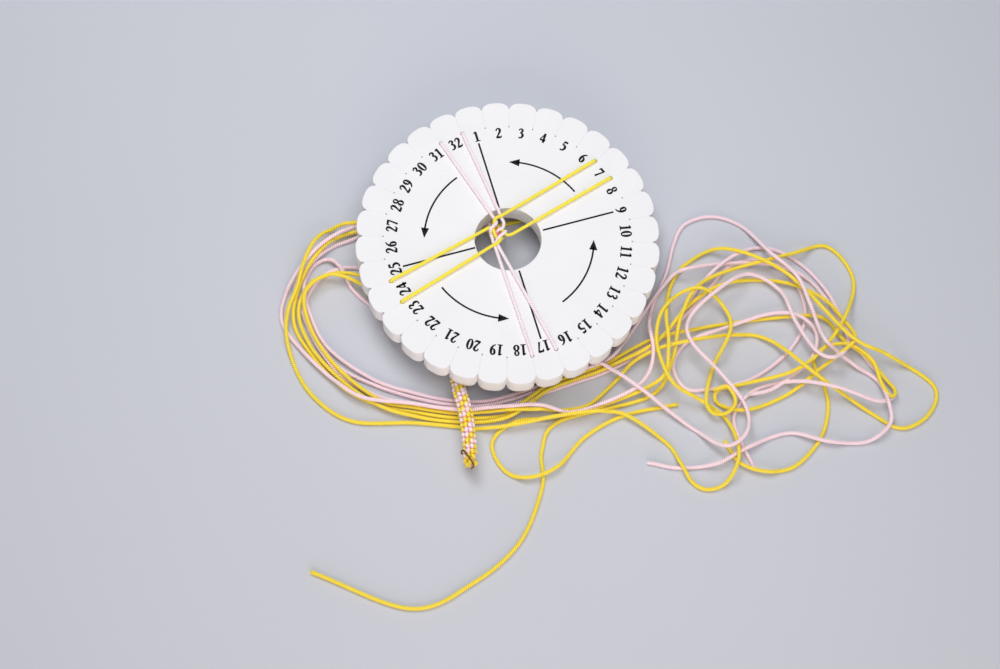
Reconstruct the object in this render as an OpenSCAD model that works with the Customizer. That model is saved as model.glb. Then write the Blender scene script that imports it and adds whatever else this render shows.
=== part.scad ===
// Round foam braiding disk with eight cords and a round braid.
// Millimetres, +Z up. The origin is on the tabletop, under the centre of the disk's hole.
// The disk lies level on the heap of its own cord tails.

/* [Disk] */
// Outside diameter over the petals
disk_d = 150;
// Foam thickness
disk_t = 12;
// Height of the underside above the table
disk_lift = 10;
// Number of slots round the rim
slots = 32;
// Depth of the V between two petals
petal_notch = 2.8;
// Diameter of the centre hole
hole_d = 33;
// Distance from the rim to the inner end of a slot
slot_depth = 13.5;
// Width of a closed slot
slit_w = 0.35;
// Eye at the inner end of a free slot
free_eye_d = 1;
// Turn of the printed dial from the +Y axis
dial_turn = 16.36;

/* [Cords] */
// Diameter of one plaited cord
cord_d = 2;
// Bend of a cord over the edge of its eye
elbow_r = 1.5;
// Bend of a cord from its eye onto the table
drop_r = 4;

/* [Braid] */
// Diameter of the round braid
braid_d = 6.8;
// Bend of the braid below the hole
braid_bend_r = 5.8;
// Place of the braid in the hole
braid_x = -5;
braid_y = 7;
// Wire that ties the end of the braid
wire_d = 0.9;

/* [Fits] */
// Room round a cord in its eye
eye_fit = 0.05;
// Room between crossing cords
cross_fit = 0.08;
// Room between the turning braid and the still cords
turn_fit = 0.5;

/* [Hidden] */
$fn = 64;

disk_r = disk_d / 2;
disk_top = disk_lift + disk_t;
eye_r = disk_r - slot_depth;
cord_r = cord_d / 2;
braid_r = braid_d / 2;
span_z = disk_top + cord_r + eye_fit;
pitch = 360 / slots;
apart = cord_d + cross_fit;
tube_sides = 8;
yellow = [0.96, 0.82, 0.16];
pink = [0.96, 0.80, 0.84];

// Slots in use: yellow 1 to 4, then pink 1 to 4
used_slots = [6, 7, 23, 24, 31, 32, 16, 17];

// Plan routes of the tails on the table, from under the eye to the free end
route_yellow_1 = [[34, 41], [-20, 27], [-58, 18.5], [-76, 15], [-85, 13.6], [-92, 9.8],
    [-97, 3.2], [-101, -7], [-104, -20],
    [-109, -38], [-105, -58], [-94, -76], [-75, -88], [-46, -88.5], [-24, -90.2], [-6, -91],
    [24, -85.8], [44, -83], [58, -84], [77, -97], [84, -107], [90, -117.5], [98, -120.5],
    [107, -116], [113, -102], [108, -86], [96, -76], [82, -66.5], [74.5, -48], [77, -31],
    [86, -20.5], [98, -16.5], [108, -25], [112, -38], [102, -59], [98, -75], [101, -82],
    [108, -82], [112.5, -76], [109, -68.5], [103, -70]];
route_yellow_2 = [[38, 30], [2, 17.5], [-40, 12], [-75.5, 10.8], [-90, 4], [-101, -13],
    [-105.5, -36], [-97, -53], [-80, -71], [-62, -79.8], [-46, -83], [-24, -85.8], [-2, -84.5],
    [9, -77.3], [20, -69.3], [34, -63.65], [50, -57.4], [74, -44], [100, -37.5], [130, -32.8],
    [157, -31.3], [168, -43], [180, -53], [188, -64], [192, -69], [190, -73], [186, -67],
    [182, -54], [172, -46], [160, -47], [152.5, -54.5], [157, -68], [158, -80], [153, -95],
    [140, -108.5], [126, -111.3], [113, -107], [106.5, -97]];
route_yellow_3 = [[-56, -30], [-63, -24.5], [-72, -18.3], [-88, -13.7], [-100, -24], [-96, -43],
    [-82, -62.5], [-62, -77.6], [-46, -80.8], [-24, -83.7], [-10, -83.1], [2, -82.4], [16, -82],
    [38, -79.5], [52, -68], [62, -57.2], [72, -51.3], [84, -46.3], [112, -41.5], [132, -44.5],
    [157, -64.5], [180, -82], [194, -89], [208, -81.5], [211.5, -67], [190, -51], [172, -41],
    [142, -8], [112, 5], [92, -3], [83, -15], [80, -30], [80.5, -48], [76, -65], [50, -78], [24, -85],
    [4, -87.5], [-7, -98], [-2, -111], [9, -115.7], [24, -110.5], [38, -95], [57, -84], [83, -78]];
route_yellow_4 = [[-66, -15.5], [-84, -12.3], [-97, -17.5], [-103, -33], [-96, -51], [-80, -68.5],
    [-62, -80.5], [-46, -85.2], [-24, -87.9], [-2, -86.6], [11, -78.8], [20, -71.8], [34, -65.95],
    [50, -59.95], [74, -46.2], [92, -25.5], [112, -13.5], [140, -13], [158, -27], [172, -36.5],
    [172, -44], [138, -72.5], [118, -80.3], [104, -77.5], [104, -70.5], [118, -66.8],
    [142, -60], [158, -48], [171, -29], [175.5, -10], [164, 6.5], [146, 3], [102, -11.5],
    [88, -30], [82, -55], [70, -74], [26, -87], [17, -102], [17, -120], [6, -147], [-16, -166.5],
    [-45, -178.5], [-91, -162]];
route_pink_1 = [[-42, 40], [-58, 20], [-75.5, 8.6], [-88, 3], [-98, -6.5], [-105.5, -18.5],
    [-102, -31], [-93, -50], [-80, -66], [-62, -75.5], [-46, -78.6], [-24, -81.6], [-2, -80.2],
    [8, -77], [20, -72.3], [34, -67.1], [50, -61.1], [70, -49.7], [84, -34.5], [97, -16],
    [110, -2.5], [124, 5], [138, 4], [152, -5.5], [163, -20], [171, -39], [180, -55], [190, -66.5],
    [191.5, -72.5], [183, -75], [164, -68.2], [144, -65.3], [124, -69.5], [113.5, -79],
    [111.5, -89], [119.5, -109]];
route_pink_2 = [[-36, 46], [-58, 25], [-77, 13.5], [-92, 3.5], [-103, -9.5], [-110.5, -24],
    [-111, -38], [-101, -52], [-86, -66.5], [-70, -77], [-46, -79.7], [-24, -82.65], [-10, -82],
    [2, -81.2], [16, -80.3], [30, -83.5], [46, -79], [62, -71], [70, -62], [72.5, -50], [71, -36],
    [75, -22], [81, -8], [85, 7], [91, 18], [105, 22.6], [120, 17.5], [134, 3.5], [147, -9],
    [153, -25], [159, -43], [172, -56], [184, -65], [188.5, -76], [188, -87], [176, -96],
    [158, -96], [138, -92], [118, -99], [102, -107.5], [84, -110], [69, -107.5]];
route_pink_3 = [[12, -47], [-22, -29], [-52, -13], [-74, -8], [-88, -10], [-97, -19], [-99.5, -31],
    [-93, -46], [-83, -60], [-66, -69], [-46, -75.6], [-24, -79.5], [-6, -78.5], [20, -70],
    [34, -64.8], [50, -58.8], [70, -47.4], [88, -33], [102, -17], [113, -4.5], [128, -1.2],
    [140, -6], [147.5, -16], [150, -30], [146, -42], [136, -54], [120, -65], [100, -70], [88, -69.5],
    [82.5, -58], [90, -45.5], [110, -37.5], [132, -30], [146, -30.5], [154.5, -39], [153, -51],
    [144, -60.5], [131, -69.5], [120.5, -72.3]];
route_pink_4 = [[2, -53], [-30, -42], [-54, -37.5], [-68, -27.7], [-77, -19.5], [-83.5, -8.3], [-90, -4],
    [-97, -7.6], [-101, -18], [-98, -32], [-88, -51], [-66, -66.5], [-46, -73.4], [-24, -77.4],
    [-6, -76.4], [20, -67.8], [34, -62.5], [50, -56], [60, -44], [78, -17], [92, -6], [128, -2.6],
    [148, -8], [160, -20], [168, -34.5], [170.5, -46], [163, -52.5], [154, -49], [145, -34],
    [138, -17.5], [122, -8.7], [105, -18.5], [91.5, -33], [92, -45], [106, -61.5], [117, -77.5],
    [117.5, -91], [107, -98.6], [92, -91], [70, -74], [50, -60]];
routes = [route_yellow_1, route_yellow_2, route_yellow_3, route_yellow_4,
    route_pink_1, route_pink_2, route_pink_3, route_pink_4];
// The heap from the table up, as numbers of cords in the list of routes
heap = [6, 7, 4, 1, 3, 2, 5, 0];

// Centreline of the braid past its bend, plan and height
braid_route = [[-9.5, 17.5, 6.2], [-18, 22.5, 6.2], [-29, 18, 6.2], [-35, 3, 6.2], [-34.5, -18, 6.2],
    [-30.5, -40, 6.2],
    [-26, -60, 6.2], [-24, -69, 6.2], [-23.2, -74, 6.6], [-21.6, -80, 9.8], [-20, -87, 10.5],
    [-18.5, -98, 10.1], [-17.5, -112, 8.8]];

function slot_angle(k) = 90 - pitch * (k - 1) - pitch / 2 + dial_turn;
function eye_at(k) = eye_r * [cos(slot_angle(k)), sin(slot_angle(k))];
function unit(v) = v / norm(v);
function plan(p) = [p[0], p[1]];

// One petal's outline: a flat crest, round shoulders and a sharp V on either side
function petal_at(k) = [for (s = [-1, -0.87, -0.74, -0.6, -0.4, 0, 0.4, 0.6, 0.74, 0.87])
    let (a = 90 + dial_turn - pitch * k - s * pitch / 2, r = disk_r - petal_notch * pow(abs(s), 3.3))
    [r * cos(a), r * sin(a)]];

module foam_outline() {
    difference() {
        polygon([for (k = [0 : slots - 1]) each petal_at(k)]);
        circle(d = hole_d);
        for (k = [1 : slots]) rotate(slot_angle(k)) union() {
            translate([eye_r, 0]) circle(d = len(search(k, used_slots)) > 0
                ? cord_d + 2 * eye_fit : free_eye_d, $fn = 32);
            translate([eye_r, -slit_w / 2]) square([slot_depth + 1, slit_w]);
        }
    }
}

module foam_disk() {
    color([0.97, 0.97, 0.98]) difference() {
        translate([0, 0, disk_lift]) linear_extrude(height = disk_t) foam_outline();
        for (i = [0 : 7]) at_eye(i) elbow(eye_fit);
    }
}

// A span's inner end, beside the braid; the two cords of a pair enter side by side
function partner(i) = i % 2 == 0 ? i + 1 : i - 1;
function pair_angle(i) = let (m = (eye_at(used_slots[i]) + eye_at(used_slots[partner(i)])) / 2
    - [braid_x, braid_y]) atan2(m[1], m[0]);
function span_in(i) = let (a = pair_angle(i)
        + (i % 2 == 0 ? 1 : -1) * asin(apart / 2 / (braid_r + turn_fit)) * 1.03)
    [braid_x, braid_y] + (braid_r + turn_fit) * [cos(a), sin(a)];
function span_angle(i) = let (v = eye_at(used_slots[i]) - span_in(i)) atan2(v[1], v[0]);

// A span is made in its own frame: the eye's axis at the origin and the braid on the -X side
module at_eye(i) {
    e = eye_at(used_slots[i]);
    translate([e[0], e[1], 0]) rotate([0, 0, span_angle(i)]) children();
}

module elbow(extra) {
    translate([-elbow_r, 0, span_z - elbow_r]) rotate([90, 0, 0]) rotate_extrude(angle = 90)
        translate([elbow_r, 0]) circle(r = cord_r + extra);
}

module span(i, tint) {
    reach = norm(eye_at(used_slots[i]) - span_in(i)) - elbow_r;
    color(tint) at_eye(i) union() {
        translate([-elbow_r - reach, 0, span_z]) rotate([0, 90, 0]) cylinder(r = cord_r, h = reach);
        elbow(0);
        translate([0, 0, disk_lift]) cylinder(r = cord_r, h = span_z - elbow_r - disk_lift);
    }
}

// Rings of a tail before it settles: straight down from the eye, round onto the table, along the route
function tail_start(i) = let (e = eye_at(used_slots[i])) e + drop_r * unit(routes[i][0] - e);
function tail_points(i) = concat([tail_start(i)], routes[i]);
function between(a, b, c, d) = (9 * (b + c) - a - d) / 16;
function tail_flat(i) = let (e = eye_at(used_slots[i]), u = unit(routes[i][0] - e),
        p = tail_points(i), n = len(p))
    concat([[e[0], e[1], disk_lift], [e[0], e[1], drop_r + cord_r]],
        [for (a = [30, 60]) let (q = e + u * drop_r * (1 - cos(a)))
            [q[0], q[1], drop_r + cord_r - drop_r * sin(a)]],
        [for (j = [0 : n - 1]) each concat([[p[j][0], p[j][1], cord_r]],
            j == n - 1 ? [] : let (q = between(j > 0 ? p[j - 1] : 2 * p[0] - p[1], p[j], p[j + 1],
                j < n - 2 ? p[j + 2] : 2 * p[n - 1] - p[n - 2])) [[q[0], q[1], cord_r]])]);

// Height that the stretch a to b needs to lie over the lower stretch c to d
function side_of(o, a, b) = (a[0] - o[0]) * (b[1] - o[1]) - (a[1] - o[1]) * (b[0] - o[0]);
function along(p, a, b) = let (v = plan(b) - plan(a), l = v * v)
    l < 0.000001 ? 0 : min(1, max(0, (plan(p) - plan(a)) * v / l));
function off(p, a, b) = norm(plan(p) - plan(a) - along(p, a, b) * (plan(b) - plan(a)));
function over(z, s) = s >= apart ? 0 : z + sqrt(apart * apart - s * s);
function need(a, b, c, d) = let (k1 = side_of(a, b, c), k2 = side_of(a, b, d),
        k3 = side_of(c, d, a), k4 = side_of(c, d, b), rise = d[2] - c[2])
    max(over(c[2] + rise * along(a, c, d), off(a, c, d)), over(c[2] + rise * along(b, c, d), off(b, c, d)),
        over(c[2], off(c, a, b)), over(d[2], off(d, a, b)),
        k1 * k2 < 0 && k3 * k4 < 0 ? over(c[2] + rise * k1 / (k1 - k2), 0) : 0);
function near(a, b, c, d) = max(c[0], d[0]) > min(a[0], b[0]) - apart
    && min(c[0], d[0]) < max(a[0], b[0]) + apart
    && max(c[1], d[1]) > min(a[1], b[1]) - apart
    && min(c[1], d[1]) < max(a[1], b[1]) + apart;

// A ring of a tail rests on the table, on lower tails and on earlier stretches of its own
first = 4;
function stretch_need(r, low, zs, j) = j < first || j > len(r) - 2 ? [] : concat(
    [for (s = low) if (near(r[j], r[j + 1], s[0], s[1])) need(r[j], r[j + 1], s[0], s[1])],
    [for (t = [first : 1 : j - 5]) if (near(r[j], r[j + 1], r[t], r[t + 1]))
        need(r[j], r[j + 1], [r[t][0], r[t][1], zs[t]], [r[t + 1][0], r[t + 1][1], zs[t + 1]])]);
function ring_z(r, low, zs, i) = i < first ? r[i][2]
    : max(concat([r[i][2]], stretch_need(r, low, zs, i - 1), stretch_need(r, low, zs, i)));
function settle(r, low, i = 0, zs = []) = i == len(r)
    ? [for (j = [0 : len(r) - 1]) [r[j][0], r[j][1], zs[j]]]
    : settle(r, low, i + 1, concat(zs, [ring_z(r, low, zs, i)]));
function stretches(r) = [for (t = [first : len(r) - 2]) [r[t], r[t + 1]]];
function heap_rings(n) = n == 0 ? [] : let (below = heap_rings(n - 1),
        low = [for (r = below) each stretches(r)])
    concat(below, [settle(tail_flat(heap[n - 1]), low)]);
function tail_rings(i) = let (n = search(i, heap)[0]) heap_rings(n + 1)[n];

// A tube swept along rings; h is the plan heading of the first ring
function heading(p, i, h) = let (v = plan(p[min(i + 1, len(p) - 1)]) - plan(p[max(i - 1, 0)]))
    norm(v) < 0.01 ? h : unit(v);
function lean(p, i) = unit(p[min(i + 1, len(p) - 1)] - p[max(i - 1, 0)]);
module tube(p, h, r, sides) {
    n = len(p);
    rings = [for (i = [0 : n - 1]) let (u = heading(p, i, h), s = [-u[1], u[0], 0], w = cross(lean(p, i), s))
        each [for (k = [0 : sides - 1]) let (a = 360 * (k + 0.5) / sides)
            p[i] + r * (s * sin(a) + w * cos(a))]];
    skin = [for (i = [0 : n - 2]) for (k = [0 : sides - 1])
        let (a = i * sides + k, b = i * sides + (k + 1) % sides)
        each [[a, b, b + sides], [a, b + sides, a + sides]]];
    cap_a = [for (k = [1 : sides - 2]) [0, k + 1, k]];
    e = (n - 1) * sides;
    cap_b = [for (k = [1 : sides - 2]) [e, e + k, e + k + 1]];
    polyhedron(points = rings, faces = concat(skin, cap_a, cap_b));
}

module tail(i, tint) {
    e = eye_at(used_slots[i]);
    color(tint) tube(tail_rings(i), unit(routes[i][0] - e), cord_r / cos(180 / tube_sides), tube_sides);
}

module yellow_span_1() { span(0, yellow); }
module yellow_span_2() { span(1, yellow); }
module yellow_span_3() { span(2, yellow); }
module yellow_span_4() { span(3, yellow); }
module pink_span_1() { span(4, pink); }
module pink_span_2() { span(5, pink); }
module pink_span_3() { span(6, pink); }
module pink_span_4() { span(7, pink); }
module yellow_tail_1() { tail(0, yellow); }
module yellow_tail_2() { tail(1, yellow); }
module yellow_tail_3() { tail(2, yellow); }
module yellow_tail_4() { tail(3, yellow); }
module pink_tail_1() { tail(4, pink); }
module pink_tail_2() { tail(5, pink); }
module pink_tail_3() { tail(6, pink); }
module pink_tail_4() { tail(7, pink); }

// The finished braid hangs in the hole, bends under the disk and comes out past the rim
braid_low = braid_route[0][2];
braid_top = span_z + cord_r;
bend_z = braid_low + braid_bend_r;
braid_head = unit(plan(braid_route[0]) - [braid_x, braid_y]);
neck_z = bend_z + 1;
braid_rings = concat([[braid_x, braid_y, neck_z]],
    [for (a = [0 : 15 : 90]) let (q = [braid_x, braid_y] + braid_head * braid_bend_r * (1 - cos(a)))
        [q[0], q[1], bend_z - braid_bend_r * sin(a)]],
    let (q = concat([[braid_x + braid_head[0] * braid_bend_r, braid_y + braid_head[1] * braid_bend_r,
            braid_low]], braid_route), n = len(q))
        [for (j = [0 : n - 2]) each [between(j > 0 ? q[j - 1] : 2 * q[0] - q[1], q[j], q[j + 1],
            j < n - 2 ? q[j + 2] : 2 * q[n - 1] - q[n - 2]), q[j + 1]]]);

module braid_neck() {
    color(yellow) translate([braid_x, braid_y, neck_z]) cylinder(r = braid_r, h = braid_top - neck_z);
}

module braid_run() {
    color(pink) tube(braid_rings, braid_head, braid_r, 12);
}

// The wire hooks under the left side of the braid, slants over its top and turns down over its end:
// degrees from the top and distance from the end, then parts of the wire's radius
wire_end = braid_route[len(braid_route) - 1];
wire_round = braid_r + wire_d / 2 + 0.35;
wire_drop = wire_d / 2 + 0.55;
wire_lap = [[-115, 6.3], [-95, 6.7], [-75, 7], [-58, 7.1], [-43, 6.6], [-30, 5.4], [-16, 4], [-2, 2.6],
    [8, 1.4], [15, 0.4], [19, -0.6]];
wire_rings = concat(
    [for (h = wire_lap) wire_end
        + [wire_round * sin(h[0]) - h[1] / 14, h[1], wire_round * cos(h[0]) + h[1] / 11]],
    [for (h = [[0.3, 0.72], [0.22, 0.38], [0.08, 0]]) wire_end
        + [wire_round * h[0], -wire_drop, wire_round * h[1]]]);
module wire_tie() {
    color([0.45, 0.30, 0.18]) wire_tube(wire_rings);
}
module wire_tube(p) {
    n = len(p);
    sides = 8;
    rings = [for (i = [0 : n - 1]) let (t = lean(p, i), s = unit(cross(t, [0, -1, 0.001])), w = cross(t, s))
        each [for (k = [0 : sides - 1]) let (a = 360 * (k + 0.5) / sides)
            p[i] + wire_d / 2 * (s * sin(a) + w * cos(a))]];
    skin = [for (i = [0 : n - 2]) for (k = [0 : sides - 1])
        let (a = i * sides + k, b = i * sides + (k + 1) % sides)
        each [[a, b, b + sides], [a, b + sides, a + sides]]];
    cap_a = [for (k = [1 : sides - 2]) [0, k + 1, k]];
    e = (n - 1) * sides;
    cap_b = [for (k = [1 : sides - 2]) [e, e + k, e + k + 1]];
    polyhedron(points = rings, faces = concat(skin, cap_a, cap_b));
}

foam_disk();
yellow_span_1();
yellow_span_2();
yellow_span_3();
yellow_span_4();
pink_span_1();
pink_span_2();
pink_span_3();
pink_span_4();
yellow_tail_1();
yellow_tail_2();
yellow_tail_3();
yellow_tail_4();
pink_tail_1();
pink_tail_2();
pink_tail_3();
pink_tail_4();
braid_neck();
braid_run();
wire_tie();
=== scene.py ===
import math

import bpy
import numpy as np
from mathutils import Matrix, Vector
from mathutils.geometry import tessellate_polygon
from mathutils.kdtree import KDTree


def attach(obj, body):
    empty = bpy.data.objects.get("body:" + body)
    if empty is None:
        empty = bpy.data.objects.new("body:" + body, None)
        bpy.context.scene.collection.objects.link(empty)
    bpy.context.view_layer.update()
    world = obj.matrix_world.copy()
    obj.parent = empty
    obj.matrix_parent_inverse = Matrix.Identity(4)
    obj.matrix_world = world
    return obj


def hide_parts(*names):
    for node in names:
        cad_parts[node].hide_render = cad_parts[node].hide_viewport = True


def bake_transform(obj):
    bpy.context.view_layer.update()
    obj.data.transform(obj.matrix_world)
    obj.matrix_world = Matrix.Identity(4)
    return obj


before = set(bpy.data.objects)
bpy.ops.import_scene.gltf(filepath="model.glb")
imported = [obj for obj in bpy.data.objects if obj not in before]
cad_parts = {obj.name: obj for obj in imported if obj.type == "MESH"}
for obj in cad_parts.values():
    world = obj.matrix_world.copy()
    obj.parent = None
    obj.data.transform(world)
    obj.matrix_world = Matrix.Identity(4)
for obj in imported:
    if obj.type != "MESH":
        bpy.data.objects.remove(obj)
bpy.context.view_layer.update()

bl_info = {
    "name": "Kumihimo Disk",
    "version": (1, 0, 0),
    "blender": (4, 5, 0),
    "location": "View3D > Sidebar > Kumihimo",
    "description": "Dresses a foam braiding disk with its cords, braid, print and stage",
    "category": "Add Mesh",
}

MM = 0.001
# Slots of the dial and the angle from one to the next
SLOTS = 32
STEP = math.tau / SLOTS

# Slots in use: yellow 1 to 4, then pink 1 to 4
USED_SLOTS = {"yellow_1": 6, "yellow_2": 7, "yellow_3": 23, "yellow_4": 24,
              "pink_1": 31, "pink_2": 32, "pink_3": 16, "pink_4": 17}
# The heap from the table up: each stretch is a tail and the point of its route where the stretch starts
HEAP = [("pink_3", 0), ("pink_4", 0), ("pink_4", 20), ("pink_1", 0), ("pink_1", 31), ("pink_2", 30),
        ("yellow_2", 0), ("pink_3", 30), ("yellow_4", 0), ("yellow_3", 0), ("pink_1", 29), ("pink_2", 0),
        ("pink_2", 33), ("yellow_1", 0), ("pink_4", 16), ("pink_4", 26)]
# Camera fitted to the photograph: place in millimetres, axes, lens, sensor and far limit in metres
CAMERA_AT = (-27.0, -297.6, 726.9)
CAMERA_RIGHT, CAMERA_UP = (0.99946, 0, 0.03263), (-0.01079, 0.94352, 0.33114)
CAMERA_BACK = (-0.0308, -0.33131, 0.94302)
CAMERA_LENS, CAMERA_SENSOR, CAMERA_FAR = 55.86, 36.0, 20.0
# Soft lights: place and size in metres, share of the key light's power, tint
LIGHTS = {"overhead_softbox": ((0.07, -0.02, 0.64), 0.4, 0.24, (1, 1, 1)),
          "rear_softbox": ((-0.22, 0.4, 0.8), 0.42, 0.6, (0.97, 0.98, 1)),
          "front_bounce": ((0.05, -0.85, 0.27), 0.8, 0.84, (1, 0.87, 0.79))}
FILL_TINT = (0.95, 0.97, 1.0, 1.0)
TABLE_REACH = 3000
# Plan routes of the tails in millimetres, read from the photograph; those of the solids differ a little
ROUTES = {
    "yellow_1": [(34, 41), (22, 37.9), (2, 32.7), (-20, 27), (-58, 18.5), (-76, 15), (-85, 13.6),
        (-92, 9.8), (-97, 3.2), (-101, -7), (-104, -20), (-109, -38), (-105, -58), (-94, -76), (-75, -88),
        (-46, -88.5), (-24, -90.2), (-6, -91), (24, -85.8), (44, -83), (58, -84), (77, -97), (84, -107),
        (90, -117.5), (98, -120.5), (107, -116), (113, -102), (108, -86), (96, -76), (82, -66.5),
        (74.5, -48), (77, -31), (86, -20.5), (98, -16.5), (108, -25), (112, -38), (102, -59), (98, -75),
        (101, -82), (108, -82), (112.5, -76), (109, -68.5), (103, -70)],
    "yellow_2": [(38, 30), (2, 17.5), (-40, 12), (-75.5, 10.8), (-90, 4), (-101, -13), (-105.5, -36),
        (-97, -53), (-80, -71), (-62, -79.8), (-46, -83), (-24, -85.8), (-2, -84.5), (9, -77.3),
        (20, -69.3), (34, -63.65), (50, -57.4), (74, -44), (100, -37.5), (130, -32.8), (157, -31.3),
        (168, -43), (180, -53), (188, -64), (191.5, -68.4), (192, -71.3), (189.8, -72.6), (187.4, -69.6),
        (185.2, -64.5), (182, -54), (172, -46), (160, -47), (152.5, -54.5), (157, -68), (158, -80),
        (153, -95), (140, -108.5), (126, -111.3), (113, -107), (106.5, -97)],
    "yellow_3": [(-56, -30), (-63, -24.5), (-72, -18.3), (-88, -13.7), (-100, -24), (-96, -43),
        (-82, -62.5), (-62, -77.6), (-46, -80.8), (-24, -83.7), (-10, -83.1), (2, -82.4), (16, -82),
        (38, -79.5), (52, -68), (62, -57.2), (72, -51.3), (84, -46.3), (112, -41.5), (132, -44.5),
        (157, -64.5), (180, -82), (194, -89), (208, -81.5), (211.5, -67), (190, -51), (172, -41), (142, -8),
        (112, 5), (92, -3), (83, -15), (80, -30), (80.5, -48), (76, -65), (50, -78), (24, -85), (4, -87.5),
        (-7, -98), (-2, -111), (9, -115.7), (24, -110.5), (38, -95), (57, -84), (83, -78)],
    "yellow_4": [(-66, -15.5), (-84, -12.3), (-97, -17.5), (-103, -33), (-96, -51), (-80, -68.5),
        (-62, -80.5), (-46, -85.2), (-24, -87.9), (-2, -86.6), (11, -78.8), (20, -71.8), (34, -65.95),
        (50, -59.95), (74, -46.2), (92, -25.5), (112, -13.5), (140, -13), (159.5, -21.5), (169.3, -33),
        (174.2, -40.5), (172.3, -45.3), (155.2, -59.1), (138, -72.5), (118, -80.3), (104, -77.5),
        (104, -70.5), (118, -66.8), (142, -60), (158, -48), (171, -29), (175.5, -10), (164, 6.5), (146, 3),
        (102, -11.5), (88, -30), (82, -55), (70, -74), (26, -87), (17, -102), (17, -120), (6, -147),
        (-16, -166.5), (-45, -178.5), (-91, -162)],
    "pink_1": [(-42, 40), (-58, 20), (-75.5, 8.6), (-88, 3), (-98, -6.5), (-105.5, -18.5), (-102, -31),
        (-93, -50), (-80, -66), (-62, -75.5), (-46, -78.6), (-24, -81.6), (-2, -80.2), (8, -77),
        (20, -72.3), (34, -67.1), (50, -61.1), (70, -49.7), (84, -34.5), (97, -16), (110, -2.5), (124, 5),
        (138, 4), (152, -5.5), (163, -20), (171, -39), (180, -55), (190, -66.5), (191.5, -72.5), (183, -75),
        (164, -68.2), (144, -65.3), (124, -69.5), (113.5, -79), (111.5, -89), (119.5, -109)],
    "pink_2": [(-36, 46), (-58, 25), (-77, 13.5), (-92, 3.5), (-103, -9.5), (-110.5, -24), (-111, -38),
        (-101, -52), (-86, -66.5), (-70, -77), (-46, -79.7), (-24, -82.65), (-10, -82), (2, -81.2),
        (16, -80.3), (30, -83.5), (46, -79), (62, -71), (70, -62), (72.5, -50), (71, -36), (75, -22),
        (81, -8), (85, 7), (91, 18), (105, 22.6), (120, 17.5), (134, 3.5), (147, -9), (153, -25),
        (159, -43), (172, -56), (184, -65), (188.5, -76), (188, -87), (176, -96), (158, -96), (138, -92),
        (118, -99), (102, -107.5), (84, -110), (69, -107.5)],
    "pink_3": [(12, -47), (-22, -29), (-52, -13), (-74, -8), (-88, -10), (-97, -19), (-99.5, -31),
        (-93, -46), (-83, -60), (-66, -69), (-46, -75.6), (-24, -79.5), (-6, -78.5), (20, -70), (34, -64.8),
        (50, -58.8), (70, -47.4), (88, -33), (102, -17), (113, -4.5), (128, -1.2), (140, -6), (147.5, -16),
        (150, -30), (146, -42), (136, -54), (120, -65), (100, -70), (88, -69.5), (82.5, -58), (90, -45.5),
        (110, -37.5), (132, -30), (146, -30.5), (154.5, -39), (153, -51), (144, -60.5), (131, -69.5),
        (120.5, -72.3)],
    "pink_4": [(2, -53), (-30, -42), (-54, -37.5), (-68, -27.7), (-77, -19.5), (-83.5, -8.3), (-90, -4),
        (-97, -7.6), (-101, -18), (-98, -32), (-88, -51), (-66, -66.5), (-46, -73.4), (-24, -77.4),
        (-6, -76.4), (20, -67.8), (34, -62.5), (50, -56), (60, -44), (78, -17), (92, -6), (128, -2.6),
        (148, -8), (160, -20), (168, -34.5), (170.5, -46), (163, -52.5), (154, -49), (145, -34),
        (138, -17.5), (122, -8.7), (105, -18.5), (91.5, -33), (92, -45), (106, -61.5), (117, -77.5),
        (117.5, -91), (107, -98.6), (92, -91), (70, -74), (51, -61.5), (45.5, -58.5), (41, -55.5)],
}
# Steepest climb of a tail onto the heap; it holds past this radius, outside the corner where the braid lies
EASE_SLOPE, EASE_RADIUS, BRAID_CORNER = 0.42, 84, (60, -45)
# From this x on, raised points move along the line of sight, fully so after this way
SIGHT_FROM, SIGHT_OVER = 55, 25
# A tail isn't lifted over this many of its own next rings; its line has two steps in this length
OWN_RINGS, TAIL_STEP = 4, 2.4
# Where the braid hangs below the hole, the middle of the point of braiding, and its height above the foam
BRAID_AT, HEAD_AT, HEAD_RISE = (-5, 7), (-4.5, 3.2), 0.2
# Centreline of the braid past its bend, in millimetres
BRAID_ROUTE = [(-9.5, 17.5, 6.2), (-18, 22.5, 6.2), (-29, 18, 6.2), (-35, 3, 6.2), (-34.5, -18, 6.2),
               (-30.5, -40, 6.2), (-26, -60, 6.2), (-24, -69, 6.2), (-23.2, -74, 6.6), (-21.6, -80, 9.8),
               (-20, -87, 10.5), (-18.5, -98, 10.1), (-17.5, -112, 8.8)]


def linear(code):
    """An sRGB hex colour as linear red, green, blue and alpha."""
    values = [int(code[i:i + 2], 16) / 255 for i in (1, 3, 5)]
    return tuple(v / 12.92 if v <= 0.04045 else ((v + 0.055) / 1.055) ** 2.4 for v in values) + (1.0,)


def length_prop(name, description, default_mm):
    return bpy.props.FloatProperty(name=name, description=description, default=default_mm * MM,
                                   unit="LENGTH", precision=5)


def colour_prop(name, description, code):
    return bpy.props.FloatVectorProperty(name=name, description=description, subtype="COLOR", size=4,
                                         min=0, max=1, default=linear(code))


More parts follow.
